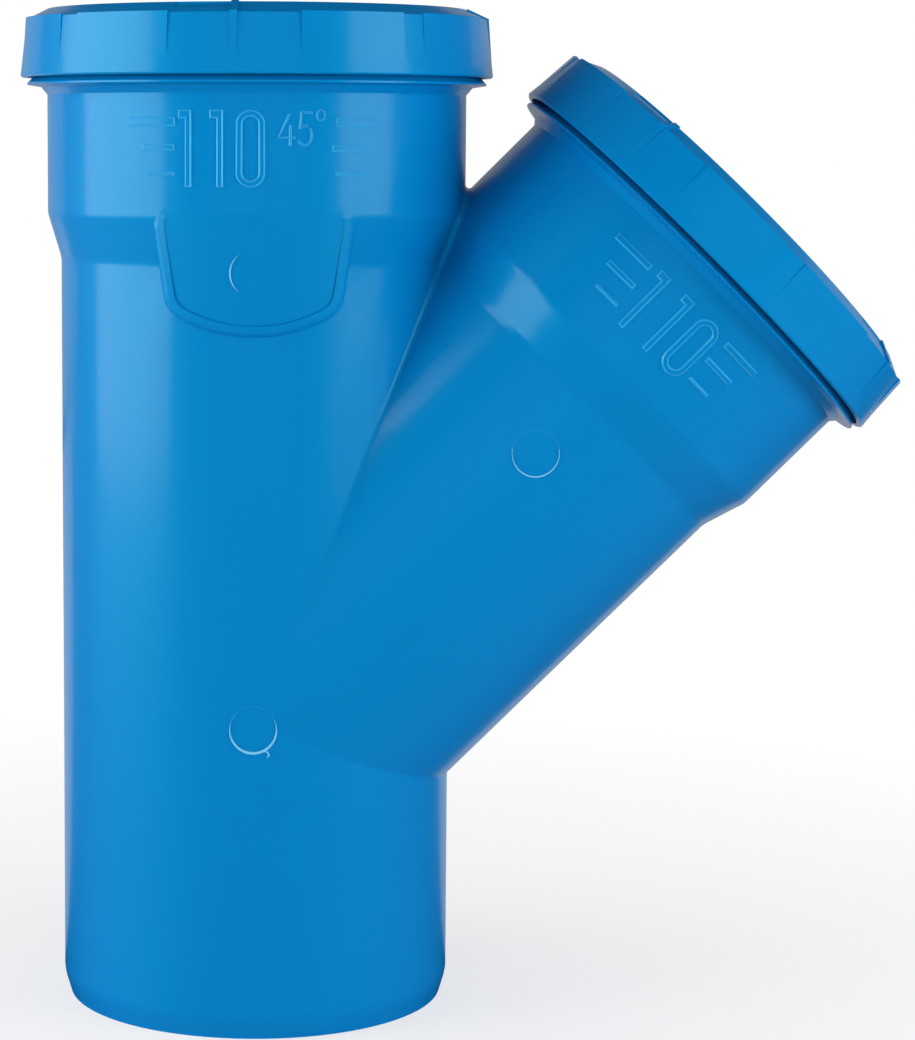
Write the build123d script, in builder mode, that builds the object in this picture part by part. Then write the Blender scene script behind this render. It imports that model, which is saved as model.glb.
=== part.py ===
from build123d import *
from math import cos, radians, sin
import os

# A 110 mm drain fitting: a straight run with a second inlet branching off at 45 degrees.
# The run stands on its plain end. The origin is the centre of that end face, +Z runs up
# the run and the branch leans towards +X. Every socket length below is measured along
# its own axis from the point where the two axes cross.

# Driving sizes, mm
BRANCH_TILT = 45.0
CROSSING_HEIGHT = 86.3
PIPE_STOP = 134.0
SOCKET_DEPTH = 40.3
CHAMBER_DEPTH = 14.0

PIPE_RADIUS = 55.1
WALL = 3.4
# the branch is a hair slimmer than the run, so the two outsides meet along one clean line
BRANCH_SLIMMER = 0.2
MOULD_DRAFT = 0.15
CROSSING_FILLET = 1.2

PLAIN_END_LENGTH = 63.0
END_CHAMFER_HEIGHT = 6.0
END_CHAMFER_DEPTH = 1.8
END_BLEND = 10.0

PIPE_CLEARANCE = 0.4
SOCKET_WALL = 3.5
CONE_LENGTH = 12.5
CONE_PAST_STOP = 3.0
CONE_BLEND = 7.0

SEAL_GROOVE = 4.6
CHAMBER_WALL = 1.9
BEAD_HEIGHT = 0.9
BEAD_LENGTH = 1.0
BEAD_BELOW_MOUTH = 3.4

FIN_BELOW_SHELF = 2.4
FIN_REACH = 5.6
FIN_DROOP = 0.9
FIN_EDGE = 0.5
FIN_SLOPE_HEIGHT = 2.6
FIN_ROOT_CHAMFER = 1.8

RUNNING_GAP = 0.35
RING_WALL = 1.45
RING_FOOT_WALL = 1.8
RING_FLARE = 1.8
RING_SKIRT_HEIGHT = 16.0
RING_SLOPE_HEIGHT = 2.9
RING_SLOPE_WIDTH = 5.7
RING_FLANGE_WALL = 2.6
RING_ABOVE_MOUTH = 5.5
RING_MOUTH_CLEARANCE = 1.1
RING_CHAMFER = 0.8
RING_FOOT_CHAMFER = 0.45

# The ring's relief repeats four times; these angles count from the left side of its rib.
RUN_RIB_ANGLE = -5.7
BRANCH_RIB_ANGLE = -37.0
RELIEF_REPEATS = 4
RIB_ARC = (0.0, 1.9)
RIB_HEIGHT = 0.45
RIB_SKIRT_HEIGHT = 0.45
PANEL_ARC = (16.7, 75.4)
PANEL_HEIGHT = 0.25
PAD_ARCS = ((16.7, 42.9), (49.0, 75.4))
PAD_HEIGHT = 0.5
PAD_LIFT = 0.4
RELIEF_FADE = 0.28
POCKET_ARC = (-14.6, 0.0)
POCKET_DEPTH = 0.4
HOOK_ARC = (-12.0, -2.0)
HOOK_LENGTH = 2.0

SEAL_BASE = 2.2
SEAL_LENGTH = 13.4
SEAL_CHAMFER = 0.8
SEAL_LIP_CLEARANCE = 0.3
SEAL_LIP_ROOTS = (12.6, 4.9)
SEAL_LIP_DROP = 3.2
SEAL_LIP_EDGE = 1.1

# the tongue's heights count from the upper end of the cone
TONGUE_RISE = 4.0
TONGUE_RECESS_RISE = 1.0
TONGUE_SIDE_DROP = 22.8
TONGUE_TIP_DROP = 28.7
TONGUE_TOP_HALF = 24.8
TONGUE_FOOT_HALF = 20.9
TONGUE_TIP_HEIGHT = 1.5
TONGUE_CORNER = 5.5
TONGUE_BORDER = 3.0
TONGUE_ROUNDING = 2.4
TONGUE_RECESS = 0.6

# Sizes that follow from them: radii of the two sockets
PIPE_BORE = PIPE_RADIUS - WALL
BRANCH_ROOT_RADIUS = PIPE_RADIUS - BRANCH_SLIMMER
CONE_RADIUS = PIPE_RADIUS + MOULD_DRAFT
SOCKET_BORE = PIPE_RADIUS + PIPE_CLEARANCE
SOCKET_RADIUS = SOCKET_BORE + SOCKET_WALL
CHAMBER_BORE = SOCKET_BORE + SEAL_GROOVE
CHAMBER_RADIUS = CHAMBER_BORE + CHAMBER_WALL
BEAD_RADIUS = CHAMBER_RADIUS + BEAD_HEIGHT
FIN_RADIUS = SOCKET_RADIUS + FIN_REACH
RING_SHOULDER_RADIUS = BEAD_RADIUS + RUNNING_GAP + RING_WALL
RING_FOOT_RADIUS = RING_SHOULDER_RADIUS + RING_FLARE
RING_CREST_RADIUS = RING_SHOULDER_RADIUS - RING_SLOPE_WIDTH
RING_MOUTH_RADIUS = SOCKET_BORE + RING_MOUTH_CLEARANCE
SEAL_LIP_RADIUS = PIPE_RADIUS + SEAL_LIP_CLEARANCE

# and lengths along each socket's axis
CONE_END = PIPE_STOP + CONE_PAST_STOP
CONE_START = CONE_END - CONE_LENGTH
SEAL_SHELF = PIPE_STOP + SOCKET_DEPTH
SOCKET_MOUTH = SEAL_SHELF + CHAMBER_DEPTH
BEAD_CREST = SOCKET_MOUTH - BEAD_BELOW_MOUTH
BEAD_FOOT = BEAD_CREST - BEAD_HEIGHT
FIN_UNDERSIDE = SEAL_SHELF - FIN_BELOW_SHELF
RING_TOP = SOCKET_MOUTH + RING_ABOVE_MOUTH
RING_SHOULDER = RING_TOP - RING_SLOPE_HEIGHT
RING_FOOT = RING_SHOULDER - RING_SKIRT_HEIGHT
OVERSHOOT = 2.0

os.makedirs("parts", exist_ok=True)


def axis_direction(tilt):
    """Direction of a socket's axis that leans from +Z towards +X by this many degrees."""
    return Vector(sin(radians(tilt)), 0, cos(radians(tilt)))


def socket_axis(tilt):
    """The axis itself, starting where the two axes cross."""
    return Axis((0, 0, CROSSING_HEIGHT), axis_direction(tilt))


def radial_plane(tilt, angle=90.0):
    """Half plane through a socket's axis: x is the radius, y the length along the axis.

    The angle turns it about the axis: 0 faces -Y, 90 faces away to the right.
    """
    right = Vector(cos(radians(tilt)), 0, -sin(radians(tilt)))
    near = Vector(0, -1, 0)
    outwards = right * sin(radians(angle)) + near * cos(radians(angle))
    return Plane(
        origin=(0, 0, CROSSING_HEIGHT),
        x_dir=outwards,
        z_dir=outwards.cross(axis_direction(tilt)),
    )


def ring_of(tilt, outline, angle=90.0, arc=360.0, mode=Mode.ADD):
    """Revolve an outline of (radius, length) corners about a socket's axis."""
    with BuildSketch(radial_plane(tilt, angle)) as section:
        with BuildLine():
            Polyline(outline, close=True)
        make_face()
    revolve(section.sketch, axis=socket_axis(tilt), revolution_arc=arc, mode=mode)


def corner_at(section, radius, length):
    """The sketch corner nearest to this radius and length."""
    return section.vertices().sort_by_distance((radius, length))[0]


def socket_outside(tilt, foot, blended_foot_corner=None):
    """Outside of one arm: its foot corners, the cone, the socket, the fin and the bead."""
    fin_tip = FIN_UNDERSIDE + FIN_DROOP
    fin_root = fin_tip + FIN_EDGE + FIN_SLOPE_HEIGHT
    with BuildSketch(radial_plane(tilt)) as section:
        with BuildLine():
            Polyline(
                foot,
                (CONE_RADIUS, CONE_START),
                (SOCKET_RADIUS, CONE_END),
                (SOCKET_RADIUS, FIN_UNDERSIDE),
                (FIN_RADIUS, fin_tip),
                (FIN_RADIUS, fin_tip + FIN_EDGE),
                (CHAMBER_RADIUS, fin_root),
                (CHAMBER_RADIUS, BEAD_FOOT),
                (BEAD_RADIUS, BEAD_CREST),
                (BEAD_RADIUS, BEAD_CREST + BEAD_LENGTH),
                (CHAMBER_RADIUS - BEAD_HEIGHT / 2, SOCKET_MOUTH),
                (0, SOCKET_MOUTH),
                close=True,
            )
        make_face()
        fillet(corner_at(section, CONE_RADIUS, CONE_START), CONE_BLEND)
        fillet(corner_at(section, SOCKET_RADIUS, CONE_END), CONE_BLEND)
        chamfer(corner_at(section, SOCKET_RADIUS, FIN_UNDERSIDE), FIN_ROOT_CHAMFER)
        if blended_foot_corner:
            fillet(corner_at(section, *blended_foot_corner), END_BLEND)
    revolve(section.sketch, axis=socket_axis(tilt))


def socket_inside(tilt, foot, bore):
    """Everything that is open inside one arm: bore, pipe stop, socket and seal chamber."""
    ring_of(
        tilt,
        [
            (0, foot),
            (bore, foot),
            (bore, PIPE_STOP - (SOCKET_BORE - bore)),
            (SOCKET_BORE, PIPE_STOP),
            (SOCKET_BORE, SEAL_SHELF),
            (CHAMBER_BORE, SEAL_SHELF),
            (CHAMBER_BORE, SOCKET_MOUTH + OVERSHOOT),
            (0, SOCKET_MOUTH + OVERSHOOT),
        ],
        mode=Mode.SUBTRACT,
    )


def tongue_outline(border):
    """U-shaped outline on the front of the run's socket, widened by the border."""
    cone_end = CROSSING_HEIGHT + CONE_END
    top = cone_end + TONGUE_RISE
    foot = cone_end - TONGUE_SIDE_DROP
    tip = cone_end - TONGUE_TIP_DROP
    with BuildSketch(Plane.XZ.offset(SOCKET_RADIUS + OVERSHOOT)) as outline:
        with BuildLine():
            Polyline(
                (-TONGUE_FOOT_HALF, foot),
                (-TONGUE_TOP_HALF, top),
                (TONGUE_TOP_HALF, top),
                (TONGUE_FOOT_HALF, foot),
            )
            ThreePointArc((TONGUE_FOOT_HALF, foot), (0, tip), (-TONGUE_FOOT_HALF, foot))
        make_face()
        feet = outline.vertices().group_by(Axis.Z)[0]
        fillet(feet, TONGUE_CORNER)
        if border:
            offset(amount=border)
    return outline.sketch


# The tongue: a raised field that carries the socket's front down over the cone, and
# comes nearer to the wall towards its tip
tongue_foot = CONE_END - TONGUE_TIP_DROP - 2 * TONGUE_BORDER
tongue_head = CONE_END + TONGUE_RISE + 2 * TONGUE_BORDER
recess_head = CONE_END + TONGUE_RECESS_RISE
with BuildPart() as tongue:
    extrude(tongue_outline(TONGUE_BORDER), amount=-SOCKET_RADIUS / 2)
    ring_of(
        0,
        [
            (PIPE_RADIUS - WALL / 2, tongue_foot),
            (PIPE_RADIUS + TONGUE_TIP_HEIGHT, tongue_foot),
            (SOCKET_RADIUS, CONE_END),
            (SOCKET_RADIUS, tongue_head),
            (PIPE_RADIUS - WALL / 2, tongue_head),
        ],
        mode=Mode.INTERSECT,
    )
    slope = tongue.faces().filter_by(GeomType.CONE).sort_by(SortBy.AREA)[-1]
    rim = slope.edges().sort_by(Axis.Z)[:-1]
    fillet(rim, TONGUE_ROUNDING)

# The field inside its border is sunk, from nothing at the socket to its full depth at the tip
with BuildPart() as tongue_recess:
    extrude(tongue_outline(0), amount=-SOCKET_RADIUS / 2)
    ring_of(
        0,
        [
            (PIPE_RADIUS + TONGUE_TIP_HEIGHT - TONGUE_RECESS, tongue_foot),
            (SOCKET_RADIUS + OVERSHOOT, tongue_foot),
            (SOCKET_RADIUS + OVERSHOOT, recess_head),
            (SOCKET_RADIUS, recess_head),
        ],
        mode=Mode.INTERSECT,
    )

# The body: both arms are one moulding
plain_end_corner = (PIPE_RADIUS, END_CHAMFER_HEIGHT - CROSSING_HEIGHT)
plain_end = [
    (0, -CROSSING_HEIGHT),
    (PIPE_RADIUS - END_CHAMFER_DEPTH, -CROSSING_HEIGHT),
    plain_end_corner,
    (PIPE_RADIUS, PLAIN_END_LENGTH - CROSSING_HEIGHT),
]
with BuildPart() as fitting_body:
    socket_outside(0, plain_end, plain_end_corner)
    socket_outside(BRANCH_TILT, [(0, 0), (BRANCH_ROOT_RADIUS, 0)])
    crossing = fitting_body.edges().filter_by(GeomType.BSPLINE).sort_by(SortBy.LENGTH)[-2:]
    fillet(crossing, CROSSING_FILLET)
    add(tongue.part)
    add(tongue_recess.part, mode=Mode.SUBTRACT)
    socket_inside(0, -CROSSING_HEIGHT - OVERSHOOT, PIPE_BORE)
    socket_inside(BRANCH_TILT, 0, PIPE_BORE - (PIPE_RADIUS - BRANCH_ROOT_RADIUS))
fitting_body.part.label = "fitting_body"


def skirt_radius(length):
    """Outer radius of the lock ring's tapered skirt at this length."""
    share = (length - RING_FOOT) / (RING_SHOULDER - RING_FOOT)
    return RING_FOOT_RADIUS + share * (RING_SHOULDER_RADIUS - RING_FOOT_RADIUS)


def skirt_strip(height, lift):
    """Outline of a raised strip on the skirt that fades out towards the foot."""
    fade = RING_FOOT + RELIEF_FADE * (RING_SHOULDER - RING_FOOT)
    return [
        (skirt_radius(fade) - RING_WALL / 2, fade),
        (skirt_radius(fade), fade),
        (RING_SHOULDER_RADIUS + height, RING_SHOULDER + lift),
        (RING_SHOULDER_RADIUS - RING_WALL / 2, RING_SHOULDER + lift),
    ]


def crest_strip(height):
    """Outline of a band that stands on the ring's sloping top, or sinks in it."""
    return [
        (RING_CREST_RADIUS, RING_TOP - RING_FLANGE_WALL / 2),
        (RING_CREST_RADIUS, RING_TOP + height),
        (RING_SHOULDER_RADIUS + RIB_SKIRT_HEIGHT, RING_SHOULDER + height),
        (RING_SHOULDER_RADIUS + RIB_SKIRT_HEIGHT, RING_SHOULDER - RING_FLANGE_WALL / 2),
    ]


def make_lock_ring(tilt, rib_angle):
    """The clip-on ring that holds the seal: tapered skirt, sloping top and fourfold relief."""
    inner_top = SOCKET_MOUTH
    skirt_inside_top = BEAD_RADIUS + RUNNING_GAP
    with BuildPart() as ring:
        ring_of(
            tilt,
            [
                (RING_FOOT_RADIUS - RING_FOOT_WALL, RING_FOOT),
                (RING_FOOT_RADIUS - RING_FOOT_CHAMFER, RING_FOOT),
                (skirt_radius(RING_FOOT + RING_FOOT_CHAMFER), RING_FOOT + RING_FOOT_CHAMFER),
                (RING_SHOULDER_RADIUS, RING_SHOULDER),
                (RING_CREST_RADIUS, RING_TOP),
                (RING_MOUTH_RADIUS + RING_CHAMFER, RING_TOP),
                (RING_MOUTH_RADIUS, RING_TOP - RING_CHAMFER),
                (RING_MOUTH_RADIUS, RING_TOP - RING_FLANGE_WALL),
                (CHAMBER_BORE + RUNNING_GAP, inner_top),
                (skirt_inside_top, inner_top),
                (skirt_inside_top, inner_top - 2 * BEAD_LENGTH),
            ],
        )
        for repeat in range(RELIEF_REPEATS):
            start = rib_angle + 360 / RELIEF_REPEATS * repeat
            panel = skirt_strip(PANEL_HEIGHT, 0)
            ring_of(tilt, panel, start + PANEL_ARC[0], PANEL_ARC[1] - PANEL_ARC[0])
            for first, last in PAD_ARCS:
                ring_of(tilt, skirt_strip(PAD_HEIGHT, PAD_LIFT), start + first, last - first)
            pocket = [
                (RING_CREST_RADIUS, RING_TOP + OVERSHOOT),
                (RING_CREST_RADIUS, RING_TOP - POCKET_DEPTH),
                (RING_SHOULDER_RADIUS + OVERSHOOT, RING_SHOULDER - POCKET_DEPTH),
                (RING_SHOULDER_RADIUS + OVERSHOOT, RING_TOP + OVERSHOOT),
            ]
            pocket_arc = POCKET_ARC[1] - POCKET_ARC[0]
            ring_of(tilt, pocket, start + POCKET_ARC[0], pocket_arc, Mode.SUBTRACT)
            rib_arc = RIB_ARC[1] - RIB_ARC[0]
            ring_of(tilt, skirt_strip(RIB_SKIRT_HEIGHT, 0), start + RIB_ARC[0], rib_arc)
            ring_of(tilt, crest_strip(RIB_HEIGHT), start + RIB_ARC[0], rib_arc)
            hook_top = BEAD_FOOT - RUNNING_GAP
            hook = [
                (CHAMBER_RADIUS + RUNNING_GAP, hook_top),
                (skirt_radius(hook_top) - RING_WALL / 2, hook_top),
                (skirt_radius(hook_top) - RING_WALL / 2, hook_top - 2 * HOOK_LENGTH),
                (CHAMBER_RADIUS + RUNNING_GAP, hook_top - HOOK_LENGTH / 2),
            ]
            ring_of(tilt, hook, start + HOOK_ARC[0], HOOK_ARC[1] - HOOK_ARC[0])
    return ring.part


def seal_lip(inner, root):
    """Outline of one soft lip that is folded down by the pipe, from its root and back."""
    return [
        (inner, root),
        (SEAL_LIP_RADIUS, root - SEAL_LIP_DROP),
        (SEAL_LIP_RADIUS, root - SEAL_LIP_DROP - SEAL_LIP_EDGE),
        (inner, root - SEAL_LIP_DROP),
    ]


def make_lip_seal(tilt):
    """The rubber seal in the chamber: a base band with two lips towards the pipe."""
    base = CHAMBER_BORE - RUNNING_GAP
    inner = base - SEAL_BASE
    top = SEAL_SHELF + SEAL_LENGTH
    outline = [(base, SEAL_SHELF), (base, top - SEAL_CHAMFER), (base - SEAL_CHAMFER, top)]
    for root in SEAL_LIP_ROOTS:
        outline += seal_lip(inner, SEAL_SHELF + root)
    outline.append((inner, SEAL_SHELF))
    with BuildPart() as seal:
        ring_of(tilt, outline)
    return seal.part


# The loose pieces of each mouth
run_lock_ring = make_lock_ring(0, RUN_RIB_ANGLE)
run_lock_ring.label = "run_lock_ring"
branch_lock_ring = make_lock_ring(BRANCH_TILT, BRANCH_RIB_ANGLE)
branch_lock_ring.label = "branch_lock_ring"
run_lip_seal = make_lip_seal(0)
run_lip_seal.label = "run_lip_seal"
branch_lip_seal = make_lip_seal(BRANCH_TILT)
branch_lip_seal.label = "branch_lip_seal"

for piece in (fitting_body.part, run_lock_ring, branch_lock_ring, run_lip_seal, branch_lip_seal):
    export_step(piece, f"parts/{piece.label}.step")
    print(piece.label, "solids", len(piece.solids()), "valid", piece.is_valid)
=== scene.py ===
# %% [markdown]
# # A drain branch in moulded plastic
# The frame of this scene is a CAD model of a 110 mm drain fitting: one moulding with two sockets,
# a lock ring on each mouth and a rubber seal inside each. The CAD gives every form its size.
# This script adds what a mould cutter adds last, the raised marks and gate scars, and it gives
# each piece its finish, its light and the camera that looks at it.

# %% Load the frame
import bpy
import bmesh
from math import cos, pi, radians, sin
from mathutils import Matrix, Vector


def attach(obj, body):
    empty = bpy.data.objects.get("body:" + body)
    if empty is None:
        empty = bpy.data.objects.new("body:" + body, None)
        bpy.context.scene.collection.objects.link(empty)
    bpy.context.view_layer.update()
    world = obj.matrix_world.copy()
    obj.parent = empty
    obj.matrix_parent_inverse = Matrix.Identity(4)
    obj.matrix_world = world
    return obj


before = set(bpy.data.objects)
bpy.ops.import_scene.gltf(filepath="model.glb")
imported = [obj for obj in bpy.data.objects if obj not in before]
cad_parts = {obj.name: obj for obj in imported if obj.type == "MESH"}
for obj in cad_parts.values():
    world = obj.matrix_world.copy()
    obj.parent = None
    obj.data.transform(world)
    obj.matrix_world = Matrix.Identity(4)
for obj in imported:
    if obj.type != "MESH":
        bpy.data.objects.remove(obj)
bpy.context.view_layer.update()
print("CAD nodes:", sorted(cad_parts))

# %% [markdown]
# ## The walls that the marks sit on
# Marks are cut into the mould, so they follow the wall that they stand on. They need the place
# where the two axes cross, and the wall's radius under each mark. A moulded wall tapers a little,
# so each wall is a function: it gives the radius at a length along its axis, counted from the
# crossing. The sockets are straight where their label stands. All sizes are the CAD's own, in
# millimetres, and one scale turns them into metres.

# %% Walls
MM = 0.001
CROSSING_HEIGHT = 86.3
BRANCH_TILT = 45.0
SOCKET_RADIUS = 59.0
PIPE_RADIUS = 55.1
ROOT_RADIUS = 54.9
CONE_RADIUS = 55.25
CONE_START = 124.5
PLAIN_END_TOP = 63.0 - CROSSING_HEIGHT
TONGUE_FOOT = 102.3
TONGUE_FOOT_RADIUS = 56.0
TONGUE_TOP = 138.0


def tapered_wall(low, low_radius, high, high_radius):
    """A wall that tapers evenly between two lengths along its axis."""
    slope = (high_radius - low_radius) / (high - low)
    return lambda along: low_radius + slope * (along - low)


socket_wall = tapered_wall(CONE_START, SOCKET_RADIUS, TONGUE_TOP, SOCKET_RADIUS)
run_wall = tapered_wall(PLAIN_END_TOP, PIPE_RADIUS, CONE_START, CONE_RADIUS)
branch_wall = tapered_wall(0, ROOT_RADIUS, CONE_START, CONE_RADIUS)
tongue_wall = tapered_wall(TONGUE_FOOT, TONGUE_FOOT_RADIUS, TONGUE_TOP, SOCKET_RADIUS)
print("run wall at the crossing:", round(run_wall(0), 3), "mm")

# %% [markdown]
# ## Wrapping a flat mark round a wall
# A mark is easiest to draw flat: x runs round the wall, y along the axis, z stands off the wall.
# Blender could bend it with modifiers, but a small function that turns x into an angle keeps the
# true arc length and leaves the object at the origin, with its place in its mesh.

# %% Wrap a mark
def wrap(mark, tilt, wall):
    """Lay a flat bmesh, in millimetres, on a wall of the arm that leans by this tilt."""
    lean = radians(tilt)
    axis = Vector((sin(lean), 0, cos(lean)))
    right = Vector((cos(lean), 0, -sin(lean)))
    near = Vector((0, -1, 0))
    crossing = Vector((0, 0, CROSSING_HEIGHT))
    for vertex in mark.verts:
        arc, along, height = vertex.co
        radius = wall(along)
        angle = arc / radius
        outwards = right * sin(angle) + near * cos(angle)
        vertex.co = (crossing + axis * along + outwards * (radius + height)) * MM


print("once round a socket:", round(2 * pi * SOCKET_RADIUS, 1), "mm")

# %% [markdown]
# ## From an outline to a raised mark
# The cutter sinks a figure half a millimetre into the mould with a pointed tool, so on the part it
# stands proud with sloping flanks. Here a flat face is cut into narrow strips, so that it can bend,
# then it is extruded from a foot inside the wall, and its top edges are bevelled, on a figure by
# almost its height. A bevelled flank takes the second material of the piece, a paler blue that is a
# painted highlight along the edges. How far a face's normal points upwards tells upright, sloping
# and flat faces apart.

# %% Raise a mark
MARK_HEIGHT = 0.5
MARK_FOOT = -0.35
MARK_EDGE = 0.42
STRIP = 1.2
UPRIGHT = 0.2
FLAT = 0.999


def cut_in_strips(mark):
    """Cut the flat faces across at even steps of arc so that they bend smoothly."""
    arcs = [vertex.co.x for vertex in mark.verts]
    first, last = min(arcs), max(arcs)
    cuts = int((last - first) / STRIP)
    for number in range(1, cuts + 1):
        place = first + (last - first) * number / (cuts + 1)
        everything = mark.verts[:] + mark.edges[:] + mark.faces[:]
        bmesh.ops.bisect_plane(mark, geom=everything, plane_co=(place, 0, 0), plane_no=(1, 0, 0))


def raise_mark(mark, height, edge):
    """Extrude flat faces from below the wall to their height and slope their flanks."""
    bmesh.ops.recalc_face_normals(mark, faces=mark.faces)
    if mark.faces[0].normal.z < 0:
        bmesh.ops.reverse_faces(mark, faces=mark.faces)
    for vertex in mark.verts:
        vertex.co.z = MARK_FOOT
    extruded = bmesh.ops.extrude_face_region(mark, geom=mark.faces[:])["geom"]
    top = {item for item in extruded if isinstance(item, bmesh.types.BMVert)}
    for vertex in top:
        vertex.co.z = height
    mark.normal_update()
    rim = [
        border
        for border in mark.edges
        if all(vertex in top for vertex in border.verts)
        and any(abs(face.normal.z) < UPRIGHT for face in border.link_faces)
    ]
    bmesh.ops.bevel(
        mark, geom=rim, offset=edge, affect="EDGES", segments=1, profile=0.5, material=-1
    )
    mark.normal_update()
    for face in mark.faces:
        # Sloping flanks take material 1, the paler blue of the painted edge highlight.
        face.material_index = int(UPRIGHT < face.normal.z < FLAT)
    for border in mark.edges:
        flat = [face.normal.z > FLAT for face in border.link_faces]
        border.smooth = flat.count(True) != 1


print("figures stand", MARK_HEIGHT, "mm proud")

# %% [markdown]
# ## Turning a bmesh into a piece
# Every piece ends the same way: its mesh gets smooth shading, but edges where the form turns hard
# stay sharp. It gets its materials, and it rides on the one body that this fitting has.

# %% Finish a piece
SHARP_ANGLE = 40


def make_piece(mark, name, materials):
    """Write the bmesh to an object that rides with the fitting."""
    mark.normal_update()
    for edge in mark.edges:
        if len(edge.link_faces) != 2 or edge.calc_face_angle() > radians(SHARP_ANGLE):
            edge.smooth = False
    for face in mark.faces:
        face.smooth = True
    mesh = bpy.data.meshes.new(name)
    mark.to_mesh(mesh)
    mark.free()
    for material in materials:
        mesh.materials.append(material)
    piece = bpy.data.objects.new(name, mesh)
    bpy.context.scene.collection.objects.link(piece)
    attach(piece, "root")
    print(name, "faces:", len(mesh.polygons))


print("edges turned by more than", SHARP_ANGLE, "degrees stay sharp")

# %% [markdown]
# ## Shader maths in plain Python
# A Math node adds, takes away or multiplies two numbers. Written as nodes, a short sum is long to
# read, so one small class wraps a socket and lets ordinary operators add those nodes. One method
# of the material makes every other node from its type, its settings and its sockets.

# %% Shader helpers
class Wire:
    """A number that comes out of a node, for use in ordinary sums."""

    def __init__(self, finish, socket):
        self.finish = finish
        self.socket = socket

    def __add__(self, other):
        return self.finish.maths("ADD", self, other)

    def __sub__(self, other):
        return self.finish.maths("SUBTRACT", self, other)

    def __rsub__(self, other):
        return self.finish.maths("SUBTRACT", other, self)

    def __mul__(self, other):
        return self.finish.maths("MULTIPLY", self, other)

    __radd__ = __add__
    __rmul__ = __mul__


class Finish:
    """A material that starts with one Principled shader."""

    def __init__(self, name):
        self.material = bpy.data.materials.new(name)
        self.material.use_nodes = True
        self.tree = self.material.node_tree
        self.shader = self.tree.nodes["Principled BSDF"]
        self.place = self.node("ShaderNodeTexCoord", output="Object")

    def plug(self, socket, value):
        if isinstance(value, Wire):
            self.tree.links.new(value.socket, socket)
        else:
            socket.default_value = value

    def node(self, kind, settings=None, sockets=None, output=0):
        new = self.tree.nodes.new(kind)
        for name, value in (settings or {}).items():
            setattr(new, name, value)
        for name, value in (sockets or {}).items():
            self.plug(new.inputs[name], value)
        return Wire(self, new.outputs[output])

    def maths(self, operation, first, second):
        return self.node("ShaderNodeMath", {"operation": operation}, {0: first, 1: second})

    def noise(self, scale, detail=2.0):
        sockets = {"Vector": self.place, "Scale": scale, "Detail": detail}
        return self.node("ShaderNodeTexNoise", sockets=sockets)

    def blend(self, factor, first, second):
        settings = {"data_type": "RGBA"}
        return self.node("ShaderNodeMix", settings, {0: factor, 6: first, 7: second}, output=2)

    def set(self, **sockets):
        for name, value in sockets.items():
            self.plug(self.shader.inputs[name.replace("_", " ")], value)

    def bump(self, height, distance):
        sockets = {"Height": height, "Distance": distance}
        self.set(Normal=self.node("ShaderNodeBump", sockets=sockets))


print("shader helpers ready")

# %% [markdown]
# ## Moulded blue plastic
# The fitting is polypropylene, coloured through and through. It looks even, and it shines in two
# ways: the pigment close under the surface gives a broad blue sheen, and the skin that lay against
# the mould gives smaller, whiter reflections on top. So the base gloss is rough and tinted, and a
# thin coat is smoother. The melt leaves faint, large clouds in the colour and the gloss, and the
# spark-eroded mould leaves a fine grain. Both come from noise on object coordinates. Flanks of the
# raised marks are a paler blue, a painted edge highlight, and the gate flash is paler still, a
# painted highlight too.

# %% Blue plastic
SHEEN_TINT = (0.0, 1.0, 0.75, 1.0)
CLOUD_ROUGHNESS = 0.06
GRAIN_ROUGHNESS = 0.03
GRAIN_DEPTH = 0.02 * MM


def moulded_plastic(name, pale, deep, roughness):
    """Coloured plastic with melt clouds and a spark-eroded mould's grain."""
    finish = Finish(name)
    clouds = finish.noise(scale=14.0, detail=3.0)
    grain = finish.noise(scale=2600.0)
    uneven = CLOUD_ROUGHNESS * (clouds - 0.5) + GRAIN_ROUGHNESS * (grain - 0.5)
    finish.set(
        Base_Color=finish.blend(clouds, deep, pale),
        Roughness=roughness + uneven,
        Specular_Tint=SHEEN_TINT,
        Specular_IOR_Level=0.8,
        Coat_Weight=0.5,
        Coat_Roughness=0.15,
    )
    finish.bump(grain, GRAIN_DEPTH)
    return finish.material


body_plastic = moulded_plastic(
    "Moulded blue plastic",
    pale=(0.0, 0.212, 0.580, 1.0),
    deep=(0.0, 0.198, 0.548, 1.0),
    roughness=0.42,
)
ring_plastic = moulded_plastic(
    "Lock ring plastic",
    pale=(0.0, 0.216, 0.582, 1.0),
    deep=(0.0, 0.202, 0.552, 1.0),
    roughness=0.4,
)
# Painted highlight: the flanks of marks and seams get this paler blue, standing in for the light
# that their edges catch.
flank_highlight_plastic = moulded_plastic(
    "Blue plastic with painted edge highlight",
    pale=(0.05, 0.42, 0.82, 1.0),
    deep=(0.02, 0.36, 0.76, 1.0),
    roughness=0.42,
)
# Painted highlight: the gate flash gets this near-white blue, standing in for the light on its
# lower rim.
flash_highlight_plastic = moulded_plastic(
    "Blue plastic with painted flash highlight",
    pale=(0.30, 0.70, 0.95, 1.0),
    deep=(0.14, 0.50, 0.85, 1.0),
    roughness=0.5,
)
for plastic in (body_plastic, ring_plastic, flank_highlight_plastic, flash_highlight_plastic):
    print("plastic:", plastic.name)

# %% [markdown]
# ## Black seal rubber
# The lip seals are moulded rubber, dusted and slightly greased. Rubber is dark and dull, so the
# finish is mostly roughness, with a dusty cloud that lifts the black a little here and there.

# %% Seal rubber
CLEAN_RUBBER = (0.012, 0.012, 0.013, 1.0)
DUSTY_RUBBER = (0.03, 0.03, 0.032, 1.0)
RUBBER_GRAIN_DEPTH = 0.04 * MM


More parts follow.
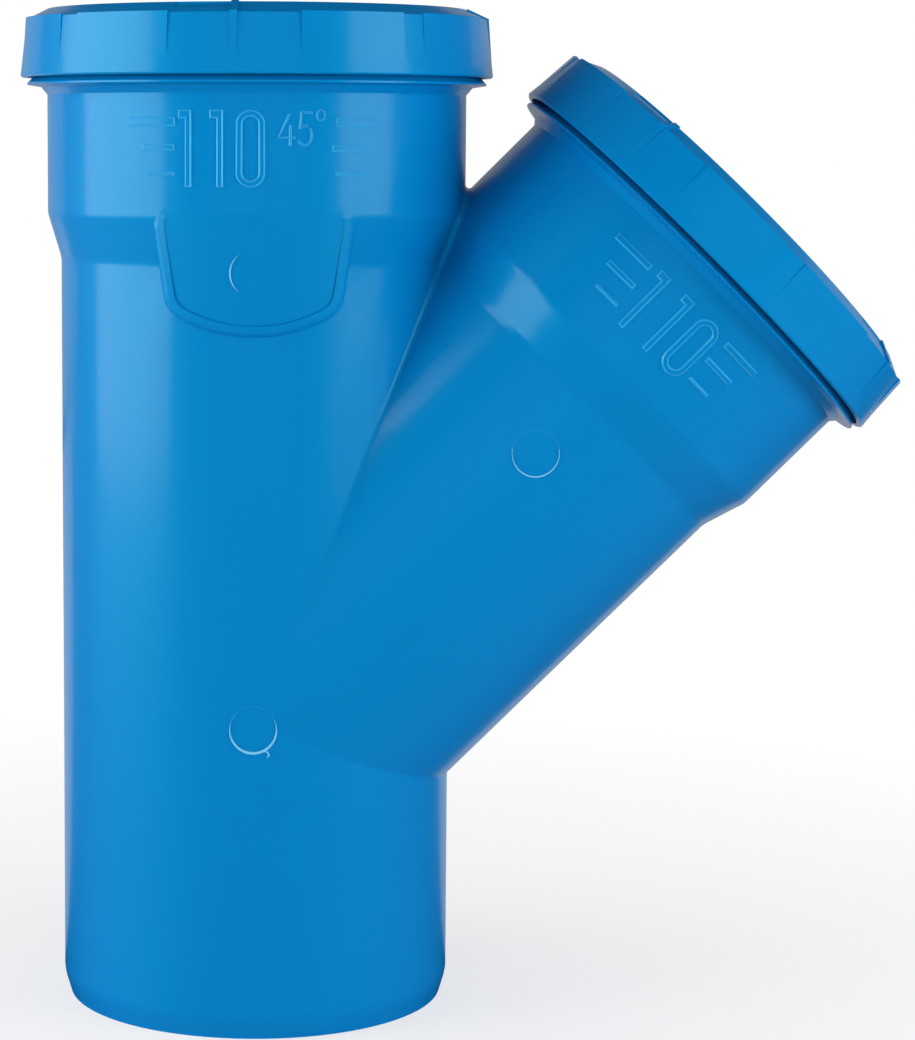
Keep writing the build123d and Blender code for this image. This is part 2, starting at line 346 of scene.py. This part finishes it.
def seal_rubber():
    """Dark rubber with a little dust."""
    finish = Finish("Seal rubber")
    dust = finish.noise(scale=60.0, detail=4.0)
    grain = finish.noise(scale=1500.0)
    finish.set(
        Base_Color=finish.blend(dust, CLEAN_RUBBER, DUSTY_RUBBER),
        Roughness=0.5 + 0.2 * dust,
    )
    finish.bump(grain, RUBBER_GRAIN_DEPTH)
    return finish.material


rubber = seal_rubber()
print("rubber:", rubber.name)

# %% [markdown]
# ## Dress the CAD nodes
# The CAD's own solids have the right shape, so they stay, and only take the better materials.
# The node's name says which finish it gets.

# %% Dress the nodes
FINISHES = {"body": body_plastic, "ring": ring_plastic, "seal": rubber}
for name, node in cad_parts.items():
    for ending, material in FINISHES.items():
        if name.endswith(ending):
            node.data.materials.clear()
            node.data.materials.append(material)
            print(name, "gets", material.name)

# %% [markdown]
# ## Raised numbers
# Both sockets carry their nominal size, 110, and the run also carries the branch angle. A figure 1
# is one outline of a few corners. A zero is a disc whose two halves are pulled apart, inset once,
# with its middle taken out. Small figures are pen strokes: an edge pulled along a line.

# %% Outlines for the figures
ZERO_SEGMENTS = 32
SAME_PLACE = 1e-4


def outline_mark(corners):
    """A flat mark from the few corners of its outline."""
    mark = bmesh.new()
    mark.faces.new([mark.verts.new((x, y, 0)) for x, y in corners])
    return mark


def figure_one(left, foot, width, flag, height, flag_height):
    """A 1: a stem on the right with a square flag on its left."""
    top = foot + height
    stem = left + flag
    right = stem + width
    return outline_mark([
        (stem, foot),
        (right, foot),
        (right, top),
        (left, top),
        (left, top - flag_height),
        (stem, top - flag_height),
    ])


def figure_zero(middle, foot, width, height, stroke):
    """A 0: a circle pulled apart along y, inset by the stroke and opened."""
    mark = bmesh.new()
    radius = width / 2
    bmesh.ops.create_circle(mark, cap_ends=True, segments=ZERO_SEGMENTS, radius=radius)
    for vertex in mark.verts:
        vertex.co.y += (height / 2 - radius) * (1 if vertex.co.y > 0 else -1)
        vertex.co += Vector((middle, foot + height / 2, 0))
    bmesh.ops.inset_individual(mark, faces=mark.faces[:], thickness=stroke)
    inner = max(mark.faces, key=lambda face: len(face.verts))
    bmesh.ops.delete(mark, geom=[inner], context="FACES_ONLY")
    return mark


def pen_stroke(points, width, closed=False, tapered=False):
    """A flat line drawn by extruding one edge across the pen, even or tapered to both ends."""
    places = [Vector((x, y, 0)) for x, y in points]
    if closed:
        places.append(places[0])
    before = [places[-2] if closed else places[0], *places[:-1]]
    after = [*places[1:], places[1] if closed else places[-1]]
    mark = bmesh.new()
    edge = None
    for number, place in enumerate(places):
        arriving = (place - before[number]).normalized()
        leaving = (after[number] - place).normalized()
        forward = (arriving + leaving).normalized()
        share = (number + 0.5) / len(places)
        pen = width * sin(pi * share) if tapered else width
        across = Vector((-forward.y, forward.x, 0)) * pen / 2
        if edge is None:
            ends = [mark.verts.new(place - across), mark.verts.new(place + across)]
            edge = mark.edges.new(ends)
            continue
        pulled = bmesh.ops.extrude_edge_only(mark, edges=[edge])["geom"]
        ends = [item for item in pulled if isinstance(item, bmesh.types.BMVert)]
        edge = next(item for item in pulled if isinstance(item, bmesh.types.BMEdge))
        ends.sort(key=lambda end: (end.co - place).dot(across))
        for end, side in zip(ends, (-1, 1)):
            end.co = place + across * side
    bmesh.ops.remove_doubles(mark, verts=mark.verts, dist=SAME_PLACE)
    return mark


def arc_points(middle, radii, first, last, steps):
    """Points of an arc, in degrees counted from the right."""
    points = []
    for step in range(steps + 1):
        angle = radians(first + (last - first) * step / steps)
        points.append((middle[0] + radii[0] * cos(angle), middle[1] + radii[1] * sin(angle)))
    return points


print("outlines ready")

# %% [markdown]
# The two labels share their figures and differ a little in height and place. On each side of the
# number stand three bars of falling length, which are part of the same raised label. A bar is
# given by its left and right end, its place along the axis and its thickness.

# %% Place the labels
FIGURE_STROKE = 1.8
FLAG = 1.9
FLAG_HEIGHT = 2.3
ZERO_WIDTH = 7.8


# By default a mark's flanks take the paler blue of the painted edge highlight.
def raised(
    flat_mark, name, tilt, wall=socket_wall, height=MARK_HEIGHT, edge=MARK_EDGE,
    materials=(body_plastic, flank_highlight_plastic),
):
    """Finish one flat mark as raised plastic on the wall of an arm."""
    cut_in_strips(flat_mark)
    raise_mark(flat_mark, height, edge)
    wrap(flat_mark, tilt, wall)
    make_piece(flat_mark, name, materials)


def place_label(arm, tilt, ones, zero, foot, height, bars):
    """Raise 110 and its bars on one socket."""
    for number, left in enumerate(ones):
        one = figure_one(left, foot, FIGURE_STROKE, FLAG, height, FLAG_HEIGHT)
        raised(one, f"{arm}_figure_one_{number}", tilt)
    raised(figure_zero(zero, foot, ZERO_WIDTH, height, FIGURE_STROKE), f"{arm}_figure_zero", tilt)
    for number, (left, right, along, thick) in enumerate(bars):
        low, high = along - thick / 2, along + thick / 2
        bar = outline_mark([(left, low), (right, low), (right, high), (left, high)])
        raised(bar, f"{arm}_bar_{number}", tilt)


RUN_BARS = [
    (-35.2, -21.2, 162.4, 2.4),
    (-31.1, -21.4, 155.7, 1.8),
    (-29.5, -21.4, 148.7, 1.0),
    (22.0, 34.6, 162.3, 2.4),
    (21.0, 31.3, 155.5, 1.8),
    (22.0, 29.7, 148.8, 1.0),
]
BRANCH_BARS = [
    (-26.6, -13.8, 162.0, 2.0),
    (-23.1, -13.2, 155.4, 1.7),
    (-21.0, -12.8, 148.8, 1.0),
    (14.8, 27.8, 162.0, 2.0),
    (14.0, 24.3, 155.7, 1.7),
    (14.4, 22.2, 149.0, 1.0),
]
place_label(
    "run", tilt=0, ones=(-20.4, -11.8), zero=-0.9, foot=145.2, height=20.4, bars=RUN_BARS
)
place_label(
    "branch", tilt=BRANCH_TILT, ones=(-11.4, -2.5), zero=8.6, foot=145.6, height=18.2,
    bars=BRANCH_BARS,
)

# %% [markdown]
# The run's label also gives the angle of the branch in small thin figures. They are drawn with the
# pen: a 4 and a 5 in two strokes each, and a small ring for the degree sign.

# %% The small angle figures
PEN = 0.75
DEGREE_PEN = 0.6
PEN_HEIGHT = 0.35
PEN_EDGE = 0.28
bowl = arc_points((13.4, 158.9), radii=(2.0, 2.6), first=115, last=-150, steps=14)
circle = arc_points((17.8, 164.2), radii=(1.1, 1.4), first=0, last=330, steps=11)
STROKES = {
    "four_slope": pen_stroke([(9.4, 164.6), (6.4, 158.3), (11.0, 158.3)], PEN),
    "four_stem": pen_stroke([(9.6, 161.6), (9.6, 156.1)], PEN),
    "five_top": pen_stroke([(15.6, 164.9), (12.6, 164.9), (12.2, 160.6)], PEN),
    "five_bowl": pen_stroke(bowl, PEN),
    "degree_sign": pen_stroke(circle, DEGREE_PEN, closed=True),
}
for name, stroke in STROKES.items():
    raised(stroke, f"run_small_{name}", 0, height=PEN_HEIGHT, edge=PEN_EDGE)

# %% [markdown]
# ## Gate scars
# Where the melt entered, the mould has a round insert, and its seam leaves a hair-thin ring on the
# wall. Each ring is a circle drawn with the pen, almost flat, and its flanks take the paler blue of
# the painted edge highlight. On the side where the insert sat proud, the melt crept into the seam:
# a crescent of flash stands there, tapered to both ends and coloured near-white as a painted
# highlight. The run's crescent is the strongest and still has a loose shred. On the tongue the seam
# itself is worn away, and only a crescent is left.

# %% Gate scars
SEAM_LINE = 0.3
SEAM_HEIGHT = 0.1
SEAM_EDGE = 0.05
FLASH_HEIGHT = 0.3
FLASH_EDGE = 0.08
GATE_RADII = (6.3, 6.3)
# The flash and its shred take only the near-white plastic of the painted highlight.
FLASH_HIGHLIGHT = (flash_highlight_plastic, flash_highlight_plastic)


def gate_seam(name, tilt, middle, wall):
    """The whole seam ring of an insert, nearly flat."""
    circle = arc_points(middle, GATE_RADII, first=0, last=355, steps=71)
    seam = pen_stroke(circle, SEAM_LINE, closed=True)
    raised(seam, name, tilt, wall, SEAM_HEIGHT, SEAM_EDGE)


def gate_flash(name, tilt, middle, wall, first, last, width):
    """A tapered crescent of flash on the seam, between two angles, near-white as a painted
    highlight.
    """
    arc = arc_points(middle, GATE_RADII, first, last, steps=36)
    crescent = pen_stroke(arc, width, tapered=True)
    raised(crescent, name, tilt, wall, FLASH_HEIGHT, FLASH_EDGE, FLASH_HIGHLIGHT)


RUN_GATE = (0, -0.5)
BRANCH_GATE = (0.4, 106.0)
TONGUE_GATE = (0, 122.5)
STRONG_FLASH = 0.7
FINE_FLASH = 0.35
SHRED_WIDTH = 0.5
gate_seam("run_gate_seam", 0, RUN_GATE, run_wall)
gate_flash("run_gate_flash", 0, RUN_GATE, run_wall, 165, 385, STRONG_FLASH)
gate_seam("branch_gate_seam", BRANCH_TILT, BRANCH_GATE, branch_wall)
gate_flash("branch_gate_flash", BRANCH_TILT, BRANCH_GATE, branch_wall, 215, 415, FINE_FLASH)
gate_flash("tongue_gate_flash", 0, TONGUE_GATE, tongue_wall, 130, 230, FINE_FLASH)
shred_line = [(2.9, -6.3), (3.9, -6.5), (4.3, -7.3), (3.8, -8.0)]
shred = pen_stroke(shred_line, SHRED_WIDTH, tapered=True)
raised(shred, "run_gate_shred", 0, run_wall, FLASH_HEIGHT, FLASH_EDGE, FLASH_HIGHLIGHT)

# %% [markdown]
# ## Floor, light and backdrop
# The fitting stands on a plain pale floor in a white tent. The tent's even light is what the
# diffuse colour sees. Reflections see something else: two tall soft boxes, left and right, that
# draw the pale patches on the sockets, a dim backdrop that shows only in the grazing rims, and
# nothing in front, where the camera stands in a dark room. So the world and the three fill lights
# are hidden from glossy rays. Two of those fills stand low at the sides and light the pipe's
# flanks, under the branch too. With Light Path, the camera sees the world as plain white without
# any more light on the object.

# %% Studio
TENT_LIGHT = 0.26
WHITE = (1.0, 1.0, 1.0, 1.0)


def soft_box(name, turn, low, high, width, distance, glow):
    """An upright soft box, this many degrees to the right of the front, from low to high."""
    light = bpy.data.lights.new(name, "AREA")
    light.shape = "RECTANGLE"
    light.size = width
    light.size_y = high - low
    light.energy = glow * pi * width * (high - low)
    box = bpy.data.objects.new(name, light)
    bpy.context.scene.collection.objects.link(box)
    away = Vector((sin(radians(turn)), -cos(radians(turn)), 0))
    box.location = away * distance + Vector((0, 0, (low + high) / 2))
    box.rotation_euler = away.to_track_quat("Z", "Y").to_euler()
    box.visible_camera = False
    return box


soft_box("Left soft box", turn=-77, low=0.0, high=1.3, width=1.35, distance=1.3, glow=2.1)
soft_box("Right soft box", turn=61, low=0.14, high=1.3, width=0.75, distance=1.3, glow=1.6)
soft_box("Backdrop", turn=180, low=0.0, high=1.0, width=4.0, distance=1.6, glow=0.4)
fills = (
    soft_box("Front fill", turn=0, low=0.0, high=1.2, width=1.6, distance=1.8, glow=1.2),
    soft_box("Low left fill", turn=-75, low=0.0, high=0.6, width=1.0, distance=1.3, glow=3.3),
    soft_box("Low right fill", turn=65, low=0.0, high=0.45, width=1.0, distance=1.3, glow=5.0),
)
for fill in fills:
    fill.visible_glossy = False

world = bpy.data.worlds.new("White studio")
world.use_nodes = True
world.cycles_visibility.glossy = False
bpy.context.scene.world = world
tree = world.node_tree
paths = tree.nodes.new("ShaderNodeLightPath")
tent = tree.nodes["Background"]
tent.inputs["Color"].default_value = WHITE
tent.inputs["Strength"].default_value = TENT_LIGHT
backdrop = tree.nodes.new("ShaderNodeBackground")
backdrop.inputs["Color"].default_value = WHITE
seen = tree.nodes.new("ShaderNodeMixShader")
tree.links.new(paths.outputs["Is Camera Ray"], seen.inputs[0])
tree.links.new(tent.outputs[0], seen.inputs[1])
tree.links.new(backdrop.outputs[0], seen.inputs[2])
tree.links.new(seen.outputs[0], tree.nodes["World Output"].inputs["Surface"])
print("studio lit")

# %% [markdown]
# The floor is a pale sheet of paper. What the camera sees of it is part lit paper and part plain
# white, and the white grows with the distance from the fitting. So the sheet keeps the real soft
# shadow of the lit paper at the foot, and near the fitting it is also painted greyer by distance
# alone, a painted shade round the foot, before it fades into the backdrop. In reflections it would
# put a haze on the plastic, so a black card lies over it there, as photographers lay one just out
# of the picture. The card is a fan that leaves the floor behind the fitting open, because that
# draws the pale rims at both sides of the pipe. One rib, spun round the fan's tip, makes it.

# %% Floor
FLOOR_HALF = 1.4
WHITE_AT_FOOT = 0.6
ALL_WHITE_FROM = 0.4
PALE_PAPER = (0.95, 0.95, 0.95, 1.0)
BLACK = (0.0, 0.0, 0.0, 1.0)
FLAG_REACH = 1.7
FLAG_TURN = 138
FLAG_TIP = Vector((0, -0.04, 0.1 * MM))
FLAG_STEPS = 25
sheet = bmesh.new()
bmesh.ops.create_grid(sheet, x_segments=1, y_segments=1, size=FLOOR_HALF)
floor_mesh = bpy.data.meshes.new("floor")
sheet.to_mesh(floor_mesh)
sheet.free()
floor = bpy.data.objects.new("floor", floor_mesh)
bpy.context.scene.collection.objects.link(floor)
paper = Finish("Pale floor")
paper.set(Base_Color=PALE_PAPER, Roughness=0.9, Specular_IOR_Level=0.0)
lit_paper = Wire(paper, paper.shader.outputs[0])
plain_white = paper.node("ShaderNodeEmission", sockets={"Color": WHITE, "Strength": 1.0})
camera_ray = paper.node("ShaderNodeLightPath", output="Is Camera Ray")
distance = paper.node("ShaderNodeVectorMath", {"operation": "LENGTH"}, {0: paper.place}, output=1)
# Less plain white near the fitting paints the floor greyer round the foot, a painted shade beside
# the real shadow of the lit paper.
fade = (1 - WHITE_AT_FOOT) / ALL_WHITE_FROM
whiteness = paper.maths("MINIMUM", 1.0, WHITE_AT_FOOT + fade * distance)
looks = {0: camera_ray * whiteness, 1: lit_paper, 2: plain_white}
shown = paper.node("ShaderNodeMixShader", sockets=looks)
paper.plug(paper.tree.nodes["Material Output"].inputs["Surface"], shown)
floor_mesh.materials.append(paper.material)

black = Finish("Black flag")
black.set(Base_Color=BLACK, Specular_IOR_Level=0.0)
card = bmesh.new()
first_turn = radians(-90 - FLAG_TURN)
along_rib = Vector((cos(first_turn), sin(first_turn), 0)) * FLAG_REACH
ends = [card.verts.new(FLAG_TIP), card.verts.new(FLAG_TIP + along_rib)]
bmesh.ops.spin(
    card,
    geom=[*ends, card.edges.new(ends)],
    axis=(0, 0, 1),
    cent=FLAG_TIP,
    angle=radians(2 * FLAG_TURN),
    steps=FLAG_STEPS,
)
bmesh.ops.remove_doubles(card, verts=card.verts, dist=MM)
card_mesh = bpy.data.meshes.new("black_flag")
card.to_mesh(card_mesh)
card.free()
card_mesh.materials.append(black.material)
flag = bpy.data.objects.new("black_flag", card_mesh)
bpy.context.scene.collection.objects.link(flag)
flag.visible_camera = False
flag.visible_diffuse = False
flag.visible_shadow = False
print("floor laid")

# %% [markdown]
# ## The camera
# The photograph was taken level with the sockets by a long lens, a little right of the run, and
# looks slightly down. It was cropped afterwards, so the lens axis isn't the picture's middle: the
# shift of Blender's camera says the same. The picture is taller than wide, so the sensor spans its
# height. All values come from fitting edges of known size.

# %% Camera
PHOTO_WIDTH = 915
PHOTO_HEIGHT = 1040
FOCAL_PIXELS = 2920.568
AXIS_PIXEL = (283.908, 415.617)
CAMERA_PLACE = (0.011408, -0.829353, 0.245502)
CAMERA_YAW = -0.246
CAMERA_PITCH = 5.504
CAMERA_ROLL = 0.155

lens = bpy.data.cameras.new("camera")
lens.sensor_width = 36.0
lens.lens = FOCAL_PIXELS / PHOTO_HEIGHT * lens.sensor_width
lens.shift_x = (PHOTO_WIDTH / 2 - AXIS_PIXEL[0]) / PHOTO_HEIGHT
lens.shift_y = (AXIS_PIXEL[1] - PHOTO_HEIGHT / 2) / PHOTO_HEIGHT
camera = bpy.data.objects.new("camera", lens)
bpy.context.scene.collection.objects.link(camera)
yaw, pitch, roll = radians(CAMERA_YAW), radians(CAMERA_PITCH), radians(CAMERA_ROLL)
forward = Vector((sin(yaw) * cos(pitch), cos(yaw) * cos(pitch), -sin(pitch)))
level = Vector((cos(yaw), -sin(yaw), 0))
upright = level.cross(forward)
right = level * cos(roll) + upright * sin(roll)
up = upright * cos(roll) - level * sin(roll)
turn = Matrix((right, up, -forward)).transposed().to_4x4()
camera.matrix_world = Matrix.Translation(CAMERA_PLACE) @ turn
bpy.context.scene.camera = camera
bpy.context.scene.view_settings.view_transform = "Standard"
print("lens:", round(lens.lens, 2), "mm, shift:", round(lens.shift_x, 4), round(lens.shift_y, 4))
